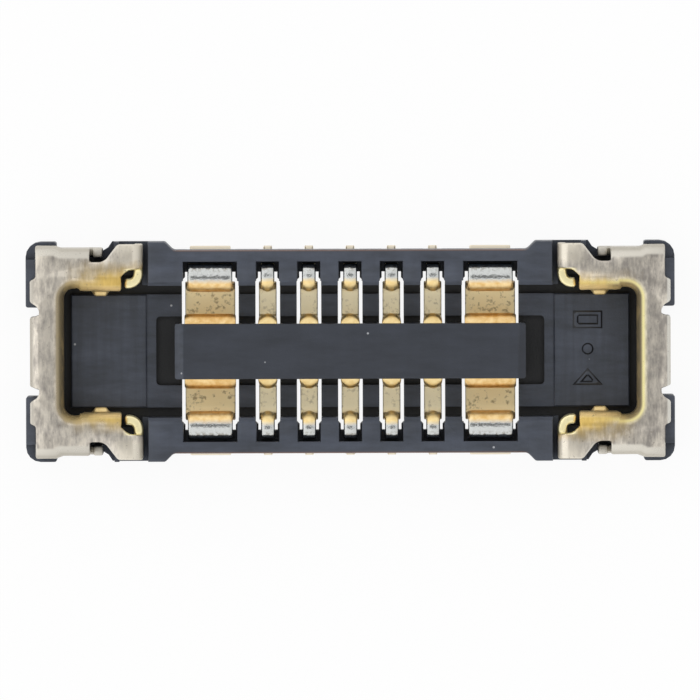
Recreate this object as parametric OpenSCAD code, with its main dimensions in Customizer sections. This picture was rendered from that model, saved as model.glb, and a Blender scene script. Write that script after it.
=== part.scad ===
// Receptacle half of a fine-pitch connector between a flexible printed circuit and a board.
// Millimetres. X runs along the contact rows, Y across them, and Z = 0 is the solder plane.

/* [Contact rows] */
// Signal contacts in each row
signals_per_row = 5; // [2:1:12]
// Distance between neighbouring signal contacts
signal_pitch = 0.35; // [0.32:0.01:0.5]
// Distance from the last signal contact to the power contact
power_offset = 0.488; // [0.47:0.01:0.7]
// Width of a signal contact along its belly and noses
signal_width = 0.15; // [0.12:0.01:0.18]
// Width of a power contact along its belly and noses
power_width = 0.424; // [0.38:0.01:0.46]
// Width of a signal contact over its crest
signal_crest = 0.116; // [0.1:0.002:0.118]
// Width of a power contact over its crest
power_crest = 0.37; // [0.34:0.002:0.372]
// Width of a signal contact's tail
signal_tail = 0.076; // [0.06:0.002:0.1]
// Width of a power contact's tail
power_tail = 0.348; // [0.3:0.002:0.36]

/* [Contact strip] */
// Thickness of the contact strip
strip_t = 0.05; // [0.04:0.005:0.06]
// How far the tails reach past the walls
tail_reach = 0.028; // [0.02:0.01:0.2]
// How far the crest lies under the top of the wall
crest_drop = 0.02; // [0.01:0.01:0.06]
// Distance between the middles of the two legs that the crest joins
crest_span = 0.08; // [0.075:0.005:0.1]
// Gap between the crest and the outer end of its slot
crest_gap = 0.051; // [0.045:0.005:0.07]
// Gap between the retained leg and the outer end of its slot
leg_gap = 0.024; // [0.01:0.002:0.03]
// Height of the belly's underside over the solder plane
belly_lift = 0.06; // [0.04:0.01:0.08]
// Height of the noses over the solder plane
nose_height = 0.335; // [0.3:0.01:0.36]
// How far the wall-side nose stands into the cavity
wall_nose_reach = 0.054; // [0.04:0.002:0.06]
// How far the island-side nose stands off the island
island_nose_reach = 0.086; // [0.07:0.002:0.1]
// How far the contact's tip runs into the island
tip_cover = 0.04; // [0.03:0.005:0.05]
// Radius, seen from above, of the coined edges of each nose
coin_radius = 0.036; // [0.01:0.002:0.04]
// Height at which the wall-side leg widens from the crest to the belly
widening = 0.42; // [0.4:0.01:0.44]
// How much nearer the wall-side leg is to the wall at the belly than at its nose
wall_leg_lean = 0.038; // [0.03:0.002:0.04]
// How much nearer the island-side leg is to the island at the belly than at its nose
island_leg_lean = 0.03; // [0.02:0.002:0.034]
// How far the tip rises past the nose beside the island
tip_rise = 0.045; // [0.03:0.005:0.05]
// Height over the ledge at which the retained leg starts its jog towards the crest
jog_start = 0.03; // [0.02:0.005:0.04]
// Height of that jog
jog_height = 0.08; // [0.06:0.005:0.1]
// Height at which the retaining teeth start
tooth_start = 0.1; // [0.09:0.005:0.12]
// Height of one retaining tooth
tooth_height = 0.06; // [0.05:0.005:0.065]

/* [Housing plan] */
// Width over the shoulders and corner blocks
body_width = 1.864; // [1.84:0.01:2.1]
// Width over the walls that hold the contacts
wall_width = 1.724; // [1.7:0.01:1.8]
// Width of the mating cavity between the walls
cavity_width = 1.12; // [1.08:0.01:1.16]
// Width of the island between the rows
island_width = 0.47; // [0.44:0.01:0.5]
// Distance from the power contact to the end of the island
island_margin = 0.3; // [0.27:0.01:0.36]
// Distance from the power contact to the end of the wall
wall_margin = 0.527; // [0.5:0.01:0.7]
// Distance from the end of the wall to the end face
end_length = 1.035; // [0.98:0.01:1.4]
// Length of the full-width shoulder at each end of a wall
shoulder_length = 0.145; // [0.1:0.01:0.17]
// Thickness of housing left outside each contact slot
slot_wall = 0.098; // [0.08:0.01:0.12]
// Width of the groove round the island
moat_width = 0.058; // [0.04:0.002:0.08]
// Distance from each end of the island to the far edge of that groove
moat_length = 0.16; // [0.12:0.01:0.18]
// Distance from that groove to the step up to the pads
pad_setback = 0.08; // [0.04:0.01:0.1]
// Width of the groove along the foot of the walls
trench_width = 0.08; // [0.04:0.01:0.09]
// Radius of the outer corners
corner_radius = 0.11; // [0.04:0.01:0.14]
// Radius of the other moulded corners, seen from above
mould_radius = 0.02; // [0.01:0.005:0.03]
// Length of the blocks at the outer corners
corner_block = 0.26; // [0.24:0.01:0.28]
// Half the width of the recess in each end face
end_recess = 0.378; // [0.33:0.01:0.4]
// Gap between the end of an arm and the housing beside it
arm_gap = 0.04; // [0.02:0.005:0.05]

/* [Housing heights] */
// Gap between the housing and the board
standoff = 0.02; // [0.01:0.01:0.04]
// Height of the grooves round the floor
groove_top = 0.08; // [0.06:0.01:0.12]
// Height of the floor between the contacts
floor_top = 0.16; // [0.14:0.01:0.2]
// Height of the raised pads at the two ends
pad_top = 0.18; // [0.16:0.01:0.24]
// Height of the walls
wall_top = 0.55; // [0.53:0.01:0.6]
// Height of the island
island_top = 0.48; // [0.46:0.01:0.52]
// Thickness of the island's roof over the contact tips
roof_t = 0.06; // [0.03:0.01:0.07]
// Height of the ledge inside each wall slot
ledge_top = 0.25; // [0.24:0.01:0.28]
// Height of the floor under the curled guides
pocket_floor = 0.2; // [0.14:0.01:0.24]
// Size of the lead-in chamfers
lead_in = 0.03; // [0.01:0.005:0.045]

/* [End fitting] */
// Thickness of the fitting's sheet
sheet_t = 0.08; // [0.06:0.005:0.09]
// Inner radius of every fold
fold_radius = 0.02; // [0.01:0.005:0.03]
// Height of the fitting's top face
fitting_top = 0.6; // [0.59:0.01:0.66]
// Distance of the side lips in from the cavity walls
lip_inset = 0.03; // [0.01:0.002:0.04]
// How far the lips at the corners and ends lie behind the side lips
lip_step = 0.01; // [0.005:0.005:0.02]
// Height of the lower edge of the side lips
side_lip_bottom = 0.2; // [0.17:0.01:0.26]
// Height of the lower edge of the lips at the corners and ends
end_lip_bottom = 0.3; // [0.22:0.01:0.38]
// Width of the slit between a side lip and its corner
lip_slit = 0.015; // [0.01:0.005:0.03]
// Inner radius of the frame's corners, seen from above
frame_radius = 0.09; // [0.06:0.01:0.12]
// Distance from the end face of the housing to the end lip
bar_width = 0.322; // [0.31:0.01:0.36]
// Distance from the end face of the housing to the end foot
foot_inset = 0.035; // [0.02:0.005:0.05]
// Distance from the end face of the housing to the straight end edge
edge_inset = 0.082; // [0.06:0.002:0.09]
// Half the width of the end foot
foot_half = 0.295; // [0.25:0.005:0.31]
// Distance from the shoulders to the side feet
side_inset = 0.052; // [0.04:0.002:0.07]
// Distance from the shoulders to the edge of the arms
arm_inset = 0.018; // [0.01:0.002:0.03]
// Gap between the wall and the curled guide
guide_gap = 0.051; // [0.03:0.005:0.07]
// Outer radius of the curled guide
guide_radius = 0.13; // [0.12:0.005:0.14]
// Height of the lower edge of the curled guide
guide_bottom = 0.22; // [0.22:0.01:0.3]
// Length of an arm past the end of the wall
arm_length = 0.255; // [0.24:0.01:0.3]
// Length of the notch between an arm and a side foot
notch_length = 0.237; // [0.2:0.01:0.25]
// Width of the side foot's toe inside the notch
toe_width = 0.077; // [0.06:0.005:0.09]
// Height of that toe
toe_height = 0.42; // [0.3:0.01:0.45]
// Width of the slit beside that toe
toe_slit = 0.025; // [0.015:0.005:0.035]
// How far the locking bumps stand out of the side lips
bump_reach = 0.048; // [0.03:0.002:0.055]
// Half the width of a locking bump
bump_half = 0.078; // [0.07:0.002:0.08]
// Height of the middle of the locking bumps
bump_height = 0.35; // [0.33:0.01:0.38]
// Depth of the dimple behind each bump
dimple_depth = 0.03; // [0.01:0.005:0.04]
// How far the small end tabs reach past the straight end edge
tab_reach = 0.046; // [0.02:0.002:0.055]
// How far the rolled corner edge stands out past the side foot
corner_reach = 0.024; // [0.01:0.002:0.03]
// Height of the web that joins the toe to its foot
toe_web = 0.12; // [0.08:0.01:0.18]
// Length of the straight end of the curled guide
guide_tip = 0.015; // [0.005:0.005:0.03]
// Distance from the curl of the guide to the cut beside it
guide_cut = 0.042; // [0.03:0.002:0.05]
// Radius of the blanked corners of the sheet
blank_radius = 0.02; // [0.01:0.005:0.025]
// How far the notch runs in past the fold of the side foot
notch_depth = 0.012; // [0.005:0.001:0.02]
// Straight length of the lip at a corner before it bends
corner_straight = 0.065; // [0.05:0.005:0.08]
// Distance from the recess in the end face to a small end tab
tab_offset = 0.045; // [0.03:0.005:0.06]
// Width of a small end tab
tab_width = 0.185; // [0.15:0.005:0.2]
// How far the end edge steps back beside the recess
end_step = 0.01; // [0.005:0.005:0.02]

/* [Fits] */
// Gap on each side of a contact in its floor slot
floor_slot_gap = 0.028; // [0.015:0.001:0.03]
// Gap on each side of a crest, which the retaining teeth fill
wall_slot_gap = 0.025; // [0.015:0.001:0.03]
// Extra gap on each side in the upper part of a wall slot
upper_slot_gap = 0.012; // [0.004:0.001:0.02]
// Gap between the housing and the inner end of each fold beside it
fold_gap = 0.005; // [0.002:0.001:0.01]
// Gap over the tail in its notch under the wall
tail_gap = 0.025; // [0.01:0.005:0.03]

/* [Hidden] */
// Largest turn between two neighbouring points of an arc
arc_step = 10;
// Length by which a cut runs past the face that it opens
past = 0.1;
// Overlap of a fold with the flat sheet that carries it
lap = 0.02;

// Places along X, from the middle of the part
signal_xs = [for (i = [0 : signals_per_row - 1]) (i - (signals_per_row - 1) / 2) * signal_pitch];
power_x = (signals_per_row - 1) / 2 * signal_pitch + power_offset;
wall_end = power_x + wall_margin;
half_length = wall_end + end_length;
island_end = power_x + island_margin;
moat_end = island_end + moat_length;

// Places across the part, from the middle
half_body = body_width / 2;
half_wall = wall_width / 2;
half_cavity = cavity_width / 2;
half_island = island_width / 2;
slot_end = half_wall - slot_wall;
floor_edge = half_cavity - trench_width;

// Centre line of the contact strip
leg_y = slot_end - leg_gap - strip_t / 2;
crest_y = slot_end - crest_gap - strip_t / 2;
wall_nose_y = half_cavity - wall_nose_reach + strip_t / 2;
island_nose_y = half_island + island_nose_reach - strip_t / 2;
belly_z = belly_lift + strip_t / 2;
crest_z = wall_top - crest_drop - strip_t / 2;
tip_y = half_island - tip_cover + strip_t / 4;
tip_z = nose_height + tip_rise;
tip_room = half_island - tip_cover - strip_t / 2;
strip_bend = strip_t * 0.8;
belly_top = belly_lift + strip_t;
leg_inner = crest_y - crest_span + strip_t / 2;
tail_end = half_wall + tail_reach;

// The fitting's sheet: its seat on the housing and the folds at its edges
seat = fitting_top - sheet_t;
fold_out = fold_radius + sheet_t;
fold_mid = fold_radius + sheet_t / 2;
fold_room = fold_out + fold_gap;
side_lip = half_cavity - lip_inset;
corner_lip = side_lip + lip_step;
end_lip = half_length - bar_width;
foot_face = half_length - foot_inset;
end_edge = half_length - edge_inset;
side_face = half_body - side_inset;
arm_edge = half_body - arm_inset;
guide_face = wall_end + guide_gap;
guide_y = side_lip + guide_radius;
arm_end = wall_end + arm_length;
notch_end = arm_end + notch_length;
notch_y = side_face - fold_out - notch_depth;
side_end = half_length - corner_block - fold_gap;
lip_start = arm_end - lap / 2;
lip_end = end_lip - frame_radius - corner_straight;
cut_y = guide_y + guide_cut;
corner_edge = side_face + corner_reach;
tab_end = end_recess + tab_offset + tab_width;
bump_radius = (bump_half * bump_half + bump_reach * bump_reach) / (2 * bump_reach);

function turned(v, angle) = [v.x * cos(angle) - v.y * sin(angle), v.x * sin(angle) + v.y * cos(angle)];
function heading(from, to) = (to - from) / norm(to - from);
function flipped(points) = [for (i = [len(points) - 1 : -1 : 0]) points[i]];
function mirrored_x(points) = [for (p = points) [-p.x, p.y, p.z]];
function mirrored_y(points) = [for (p = points) [p.x, -p.y, p.z]];

// Points of the round corner at p, on the line from a to b, of radius r and moved sideways by shift
function corner(a, p, b, r, shift) =
    let (
        u = heading(a, p),
        v = heading(p, b),
        turn = atan2(u.x * v.y - u.y * v.x, u * v),
        side = sign(turn),
        inward = [-u.y, u.x] * side,
        centre = p - u * r * tan(abs(turn) / 2) + inward * r,
        steps = max(1, ceil(abs(turn) / arc_step))
    )
    [for (k = [0 : steps]) centre - turned(inward, turn * k / steps) * (r - side * shift)];

// A closed outline whose corners are [x, y, radius]
function rounded(rows) = [
    for (i = [0 : len(rows) - 1])
        let (
            a = rows[(i + len(rows) - 1) % len(rows)],
            p = rows[i],
            b = rows[(i + 1) % len(rows)]
        )
        each p.z > 0 ? corner([a.x, a.y], [p.x, p.y], [b.x, b.y], p.z, 0) : [[p.x, p.y]]
];

// One side of a bent strip whose centre line has corners [x, y, bend radius]
function strip_side(rows, shift) =
    let (
        n = len(rows) - 1,
        path = [for (p = rows) [p.x, p.y]],
        u = heading(path[0], path[1]),
        v = heading(path[n - 1], path[n])
    )
    concat(
        [path[0] + [-u.y, u.x] * shift],
        [for (i = [1 : n - 1]) each corner(path[i - 1], path[i], path[i + 1], rows[i].z, shift)],
        [path[n] + [-v.y, v.x] * shift]
    );

function strip_outline(rows, t) = concat(strip_side(rows, t / 2), flipped(strip_side(rows, -t / 2)));

// Corners [x, y, radius] of a rectangle
function box_rows(x0, x1, y0, y1, r) = [[x0, y0, r], [x1, y0, r], [x1, y1, r], [x0, y1, r]];

// Extrudes an outline drawn in Y and Z along X
module along_x(x0, x1) {
    translate([x0, 0, 0])
        rotate([90, 0, 90])
            linear_extrude(x1 - x0)
                children();
}

// Extrudes an outline drawn in X and Z along Y
module along_y(y0, y1) {
    translate([0, y1, 0])
        rotate([90, 0, 0])
            linear_extrude(y1 - y0)
                children();
}

module slab(z0, z1) {
    translate([0, 0, z0])
        linear_extrude(z1 - z0)
            children();
}

module block(x0, x1, y0, y1, z0, z1) {
    translate([x0, y0, z0])
        cube([x1 - x0, y1 - y0, z1 - z0]);
}

module both_rows() {
    children();
    mirror([0, 1, 0])
        children();
}

module both_ends() {
    children();
    mirror([1, 0, 0])
        children();
}

// The bent strip of a contact, from its tail, over the crest in the wall, to its tip in the island
strip_rows = [
    [tail_end, strip_t / 2, 0],
    [leg_y, strip_t / 2, strip_t],
    [leg_y, ledge_top + jog_start, strip_t],
    [crest_y, ledge_top + jog_start + jog_height, strip_t],
    [crest_y, crest_z, strip_bend],
    [crest_y - crest_span, crest_z, strip_bend],
    [wall_nose_y, nose_height, strip_t],
    [wall_nose_y + wall_leg_lean, belly_z, strip_t * 1.2],
    [island_nose_y - island_leg_lean, belly_z, strip_t],
    [island_nose_y, nose_height, strip_bend],
    [tip_y, tip_z, 0]
];

// Half the front view of a contact's retained leg, with two teeth that point down
function leg_view(half, tooth) = [
    [half, -past],
    [half, tooth_start],
    [tooth, tooth_start],
    [tooth, tooth_start + tooth_height / 2],
    [half, tooth_start + tooth_height],
    [tooth, tooth_start + tooth_height],
    [tooth, tooth_start + tooth_height * 3 / 2],
    [half, tooth_start + tooth_height * 2],
    [half, wall_top]
];

// Plan of a strip that faces away from from_y, with the coined edges of its nose at to_y
module nose_plan(width, from_y, to_y) {
    polygon(rounded([
        [-width / 2, from_y, 0],
        [width / 2, from_y, 0],
        [width / 2, to_y, coin_radius],
        [-width / 2, to_y, coin_radius]
    ]));
}

// Where the strip's own width changes: the tail, the leg and crest, and the belly with its noses
module blank(width, crest, tail) {
    leg = leg_view(crest / 2, crest / 2 + wall_slot_gap);
    coin_start = belly_top + strip_bend;
    tail_start = half_wall - slot_wall / 2;
    block(-tail / 2, tail / 2, tail_start, tail_end + past, -past, strip_t + past);
    along_y(leg_inner, tail_start)
        polygon(concat(leg, [for (p = flipped(leg)) [-p.x, p.y]]));
    block(-width / 2, width / 2, 0, leg_inner, 0, coin_start);
    intersection() {
        slab(coin_start, wall_top)
            nose_plan(width, leg_inner, half_cavity - wall_nose_reach);
        along_y(0, leg_inner)
            polygon([
                [-width / 2, 0],
                [width / 2, 0],
                [width / 2, widening],
                [crest / 2, widening + lead_in],
                [crest / 2, wall_top],
                [-crest / 2, wall_top],
                [-crest / 2, widening + lead_in],
                [-width / 2, widening]
            ]);
    }
    slab(coin_start, wall_top)
        nose_plan(width, 0, half_island + island_nose_reach);
}

module contact(width, crest, tail) {
    intersection() {
        along_x(-width, width)
            polygon(strip_outline(strip_rows, strip_t));
        blank(width, crest, tail);
    }
}

// Everything that a contact of this size needs cut out of the housing
module contact_room(width, crest) {
    floor_half = width / 2 + floor_slot_gap;
    wall_half = crest / 2 + wall_slot_gap;
    upper_half = wall_half + upper_slot_gap;
    slab(-past, ledge_top)
        polygon([
            [-floor_half, tip_room],
            [floor_half, tip_room],
            [floor_half, leg_inner],
            [wall_half, leg_inner + floor_half - wall_half],
            [wall_half, slot_end - leg_gap / 2],
            [-wall_half, slot_end - leg_gap / 2],
            [-wall_half, leg_inner + floor_half - wall_half],
            [-floor_half, leg_inner]
        ]);
    block(-floor_half, floor_half, tip_room, half_island + past / 2, 0, island_top - roof_t);
    block(-upper_half, upper_half, floor_edge, slot_end, ledge_top, wall_top + past);
    block(-crest / 2 - tail_gap, crest / 2 + tail_gap, leg_y, half_wall + past, -past, strip_t + tail_gap);
}

// One quarter of the housing's outline at the middle, and of its outline at the ends
middle_quarter = [
    [wall_end, half_body, 0],
    [wall_end - shoulder_length, half_body, mould_radius],
    [wall_end - shoulder_length - half_body + half_wall, half_wall, mould_radius]
];
end_quarter = [
    [foot_face - fold_room, end_recess, mould_radius],
    [half_length, end_recess, mould_radius / 2],
    [half_length, half_body, corner_radius],
    [half_length - corner_block, half_body, mould_radius],
    [half_length - corner_block, side_face - fold_room, mould_radius / 2],
    [arm_end + arm_gap + mould_radius, side_face - fold_room, mould_radius / 2],
    [arm_end + arm_gap, half_body, mould_radius / 2],
    [wall_end - lap, half_body, 0]
];

module housing_walls() {
    slab(standoff, wall_top)
        polygon(rounded(concat(
            middle_quarter,
            flipped(mirrored_x(middle_quarter)),
            mirrored_x(mirrored_y(middle_quarter)),
            flipped(mirrored_y(middle_quarter))
        )));
    both_ends()
        slab(standoff, seat)
            polygon(rounded(concat(end_quarter, flipped(mirrored_y(end_quarter)))));
}

// The hollow between the walls, wider at the ends for the lips, with the pockets of the curled guides
module housing_hollow() {
    lip_room = corner_lip + fold_room;
    end_room = end_lip + fold_room;
    slab(groove_top, wall_top + past)
        polygon(rounded(box_rows(-wall_end - past, wall_end + past, -half_cavity, half_cavity, 0)));
    both_ends()
        slab(groove_top, wall_top + past)
            polygon(rounded([
                [wall_end + past / 2, -lip_room, 0],
                [end_room, -lip_room, frame_radius + fold_room],
                [end_room, lip_room, frame_radius + fold_room],
                [wall_end + past / 2, lip_room, 0]
            ]));
    both_ends()
        both_rows()
            block(wall_end, lip_start, floor_edge, half_body + past, pocket_floor, wall_top + past);
    both_rows()
        along_x(-wall_end, wall_end)
            polygon([
                [half_cavity - past, wall_top - lead_in - past],
                [half_cavity + lead_in + past, wall_top + past],
                [half_cavity - past, wall_top + past]
            ]);
}

// The floor with its groove round the island, and the raised pads at its ends
module housing_floor() {
    pad_start = moat_end + pad_setback;
    pad_end = end_lip - trench_width;
    difference() {
        union() {
            slab(standoff, floor_top)
                polygon(rounded(box_rows(-pad_end, pad_end, -floor_edge, floor_edge, mould_radius)));
            both_ends()
                slab(standoff, pad_top)
                    polygon(rounded(box_rows(pad_start, pad_end, -floor_edge, floor_edge, mould_radius)));
        }
        slab(groove_top, pad_top + past)
            polygon(rounded(box_rows(
                -moat_end, moat_end, -half_island - moat_width, half_island + moat_width, moat_width * 0.6
            )));
    }
}

// The island, bevelled at its two ends and lightly along its long edges
module housing_island() {
    intersection() {
        slab(standoff, island_top)
            polygon(rounded(box_rows(-island_end, island_end, -half_island, half_island, mould_radius)));
        along_y(-half_island, half_island)
            polygon([
                [-island_end, 0],
                [island_end, 0],
                [island_end, island_top - lead_in * 2],
                [island_end - lead_in * 2, island_top],
                [-island_end + lead_in * 2, island_top],
                [-island_end, island_top - lead_in * 2]
            ]);
        along_x(-island_end, island_end)
            polygon([
                [-half_island, 0],
                [half_island, 0],
                [half_island, island_top - lead_in / 2],
                [half_island - lead_in / 2, island_top],
                [-half_island + lead_in / 2, island_top],
                [-half_island, island_top - lead_in / 2]
            ]);
    }
}

module housing() {
    color([0.2, 0.21, 0.24])
        difference() {
            union() {
                difference() {
                    housing_walls();
                    housing_hollow();
                }
                housing_floor();
                housing_island();
            }
            both_rows() {
                for (x = signal_xs)
                    translate([x, 0, 0])
                        contact_room(signal_width, signal_crest);
                for (x = [-power_x, power_x])
                    translate([x, 0, 0])
                        contact_room(power_width, power_crest);
            }
        }
}

module signal_contact(i, turn) {
    color([0.83, 0.7, 0.42])
        rotate([0, 0, turn])
            translate([signal_xs[i] * cos(turn), 0, 0])
                contact(signal_width, signal_crest, signal_tail);
}

module power_contact(x, turn) {
    color([0.8, 0.68, 0.42])
        rotate([0, 0, turn])
            translate([x * cos(turn), 0, 0])
                contact(power_width, power_crest, power_tail);
}

// Section of a fold from the flat sheet at root down to bottom, with its outer face at face
module fold(face, root, bottom) {
    middle = face + sign(root - face) * sheet_t / 2;
    polygon(strip_outline([
        [root, fitting_top - sheet_t / 2, 0],
        [middle, fitting_top - sheet_t / 2, fold_mid],
        [middle, bottom, 0]
    ], sheet_t));
}

// Outer and inner edge, on one side, of the flat sheet of the right-hand fitting
outer_rows = [
    [guide_face + fold_out, cut_y, 0],
    [guide_face + fold_out, arm_edge, 0],
    [arm_end, arm_edge, blank_radius],
    [arm_end + (arm_edge - notch_y) * 0.8, notch_y, blank_radius],
    [side_end, notch_y, 0],
    [side_end, corner_edge - sheet_t, 0],
    [end_edge, corner_edge - sheet_t, 0],
    [end_edge, tab_end + tab_reach / 2, blank_radius],
    [end_edge + tab_reach, tab_end, blank_radius],
    [end_edge + tab_reach, tab_end - tab_width, blank_radius],
    [end_edge - end_step, end_recess, blank_radius],
    [end_edge - end_step, foot_half, 0],
    [foot_face - fold_out, foot_half, 0]
];
inner_rows = [
    [end_lip + fold_out, corner_lip + fold_out, frame_radius + fold_out],
    [lip_start, corner_lip + fold_out, 0],
    [guide_face + fold_out + lap, cut_y, blank_radius / 2]
];

module fitting_sheet() {
    slab(seat, fitting_top)
        polygon(rounded(concat(
            outer_rows,
            flipped(mirrored_y(outer_rows)),
            flipped(mirrored_y(inner_rows)),
            inner_rows
        )));
}

// The lip of one side: straight beside the rows, then drawn round the corner to the middle of the end
module fitting_lips() {
    root = corner_lip + fold_out + lap;
    along_x(lip_start, lip_end)
        fold(side_lip, root, side_lip_bottom);
    difference() {
        along_x(lip_end, end_lip - frame_radius)
            fold(corner_lip, root, end_lip_bottom);
        block(lip_end, lip_end + lip_slit, 0, root, 0, fitting_top - fold_out);
    }
    translate([end_lip - frame_radius, corner_lip - frame_radius, 0])
        rotate_extrude(angle = 90, $fn = 96)
            fold(frame_radius, frame_radius + fold_out + lap, end_lip_bottom);
}

module end_lip_and_foot() {
    along_y(frame_radius - corner_lip, corner_lip - frame_radius)
        fold(end_lip, end_lip + fold_out + lap, end_lip_bottom);
    along_y(-foot_half, foot_half)
        fold(foot_face, foot_face - fold_out - lap, 0);
}

// The side foot, with a toe beside it that stands in the notch, and the rolled edge at the corner
module side_foot() {
    intersection() {
        along_x(notch_end - toe_slit - toe_width, side_end)
            fold(side_face, notch_y - lap, 0);
        along_y(0, half_body)
            polygon([
                [side_end, 0],
                [side_end, fitting_top],
                [notch_end, fitting_top],
                [notch_end, toe_web],
                [notch_end - toe_slit, toe_web],
                [notch_end - toe_slit, toe_height],
                [notch_end - toe_slit - toe_width, toe_height],
                [notch_end - toe_slit - toe_width, 0]
            ]);
    }
    translate([side_end, corner_edge - sheet_t, seat])
        rotate([90, 0, 90])
            rotate_extrude(angle = 90, $fn = 96)
                square([sheet_t, end_edge - side_end]);
}

// The end of an arm, folded down and curled round to guide the plug
module curled_guide() {
    along_y(cut_y, arm_edge)
        fold(guide_face, guide_face + fold_out + lap * 2, guide_bottom);
    slab(guide_bottom, fitting_top - fold_out)
        translate([guide_face, guide_y])
            square([sheet_t, arm_edge - guide_y]);
    translate([guide_face + guide_radius, guide_y, guide_bottom])
        rotate([0, 0, 180])
            rotate_extrude(angle = 90, $fn = 96)
                translate([guide_radius - sheet_t, 0])
                    square([sheet_t, fitting_top - fold_out - guide_bottom]);
    slab(guide_bottom, fitting_top - fold_out)
        translate([guide_face + guide_radius, side_lip])
            square([guide_tip, sheet_t]);
}

module bump_ball(y) {
    translate([(lip_start + lip_end) / 2, y, bump_height])
        sphere(r = bump_radius, $fn = 64);
}

module end_fitting() {
    color([0.72, 0.7, 0.66]) {
        fitting_sheet();
        end_lip_and_foot();
        both_rows() {
            difference() {
                union() {
                    fitting_lips();
                    intersection() {
                        bump_ball(side_lip - bump_reach + bump_radius);
                        block(lip_start, lip_end, 0, side_lip + sheet_t / 2, 0, fitting_top);
                    }
                }
                bump_ball(side_lip + sheet_t - dimple_depth + bump_radius);
            }
            side_foot();
            curled_guide();
        }
    }
}

housing();
mirror([1, 0, 0]) end_fitting();  // end_fitting_left
end_fitting();  // end_fitting_right
power_contact(-power_x, 0);  // power_contact_a_left
power_contact(power_x, 0);  // power_contact_a_right
power_contact(-power_x, 180);  // power_contact_b_left
power_contact(power_x, 180);  // power_contact_b_right
for (i = [0 : signals_per_row - 1]) {
    signal_contact(i, 0);
    signal_contact(i, 180);
}
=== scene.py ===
# A fine-pitch board-to-FPC receptacle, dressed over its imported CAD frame.
import math

import bmesh
import bpy
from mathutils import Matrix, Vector


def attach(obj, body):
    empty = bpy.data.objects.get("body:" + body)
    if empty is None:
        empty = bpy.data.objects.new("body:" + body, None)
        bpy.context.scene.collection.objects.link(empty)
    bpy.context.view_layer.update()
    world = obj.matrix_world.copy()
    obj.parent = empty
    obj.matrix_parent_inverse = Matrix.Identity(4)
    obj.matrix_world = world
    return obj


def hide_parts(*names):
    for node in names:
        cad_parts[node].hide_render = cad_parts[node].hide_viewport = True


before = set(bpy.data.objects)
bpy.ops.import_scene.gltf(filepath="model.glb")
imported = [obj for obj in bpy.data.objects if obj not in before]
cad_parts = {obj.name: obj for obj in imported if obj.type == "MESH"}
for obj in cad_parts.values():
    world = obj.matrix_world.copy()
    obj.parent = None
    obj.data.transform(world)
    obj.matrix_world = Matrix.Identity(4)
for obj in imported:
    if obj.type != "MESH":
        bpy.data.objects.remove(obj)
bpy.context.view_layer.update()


# Housing
# One piece of black liquid-crystal polymer, injection moulded with its slots open, so that daylight shows past the
# contacts. A groove runs round the middle island, where the plug goes in. It carries every other piece. Sizes are in
# millimetres from here on: x along the part, y across it and z up from the board.
wall_top, seat_top, floor_top, groove_top, base = 0.55, 0.52, 0.16, 0.08, 0.02
half_cavity, half_island, floor_edge, slot_end = 0.56, 0.235, 0.48, 0.764
island_end, island_top, moat_end, half_moat = 1.488, 0.48, 1.648, 0.293
floor_end, pad_start, pad_top, mark_x = 2.37, 1.728, 0.18, 2.015
signal_xs, power_xs = [-0.7, -0.35, 0.0, 0.35, 0.7], [-1.188, 1.188]
signal_half, power_half = 0.075, 0.212
signal_crest, power_crest = 0.058, 0.19


def leave():
    """Leaves edit mode, if it is on."""
    if bpy.context.mode != "OBJECT":
        bpy.ops.object.mode_set(mode="OBJECT")


def only(piece):
    """Selects one object and makes it the active one."""
    bpy.ops.object.select_all(action="DESELECT")
    piece.select_set(True)
    bpy.context.view_layer.objects.active = piece


def another(piece):
    """A copy of an object, with its own mesh, selected and active."""
    only(piece)
    bpy.ops.object.duplicate()
    return bpy.context.object


def apply_place():
    """Takes an object's place, turn and scale over into its mesh."""
    bpy.ops.object.transform_apply(location=True, rotation=True, scale=True)


def outwards():
    """Turns the faces of the mesh that is being edited outwards."""
    bpy.ops.mesh.select_all(action="SELECT")
    bpy.ops.mesh.normals_make_consistent(inside=False)


def draw(name, points, closed=True):
    """Draws an outline point by point, as by hand, and fills it if it is closed. Stays in edit mode."""
    leave()
    bpy.ops.object.select_all(action="DESELECT")
    bpy.ops.mesh.primitive_plane_add(size=1)
    piece = bpy.context.object
    piece.name = name
    bpy.ops.object.mode_set(mode="EDIT")
    bpy.ops.mesh.select_mode(type="VERT")
    bpy.ops.mesh.select_all(action="SELECT")
    bpy.ops.mesh.merge(type="CENTER")
    points = [Vector(p) for p in points]
    bpy.ops.transform.translate(value=points[0])
    for a, b in zip(points, points[1:]):
        bpy.ops.mesh.extrude_region_move(TRANSFORM_OT_translate={"value": b - a})
    bpy.ops.mesh.select_all(action="SELECT")
    if closed:
        bpy.ops.mesh.edge_face_add()
    return piece


def pick(kind, test):
    """Selects the vertices, edges or faces that lie wholly where the test holds, and says how many."""
    bpy.context.tool_settings.mesh_select_mode = [kind == k for k in ("VERT", "EDGE", "FACE")]
    bpy.ops.mesh.select_all(action="DESELECT")
    mesh = bpy.context.object.data
    shape = bmesh.from_edit_mesh(mesh)
    found = 0
    for item in {"VERT": shape.verts, "EDGE": shape.edges, "FACE": shape.faces}[kind]:
        if all(test(*v.co) for v in ([item] if kind == "VERT" else item.verts)):
            item.select_set(True)
            found += 1
    bmesh.update_edit_mesh(mesh)
    return found


def pull(x=0.0, y=0.0, z=0.0):
    """Extrudes what is selected."""
    bpy.ops.mesh.extrude_region_move(TRANSFORM_OT_translate={"value": (x, y, z)})


def round_points(corners, steps=4):
    """Rounds the vertices at the given places, (x, y, length cut off each edge)."""
    for cx, cy, cut in corners:
        if pick("VERT", lambda x, y, z: abs(x - cx) < 1e-4 and abs(y - cy) < 1e-4):
            bpy.ops.mesh.bevel(offset=cut, segments=steps, affect="VERTICES")


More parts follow.
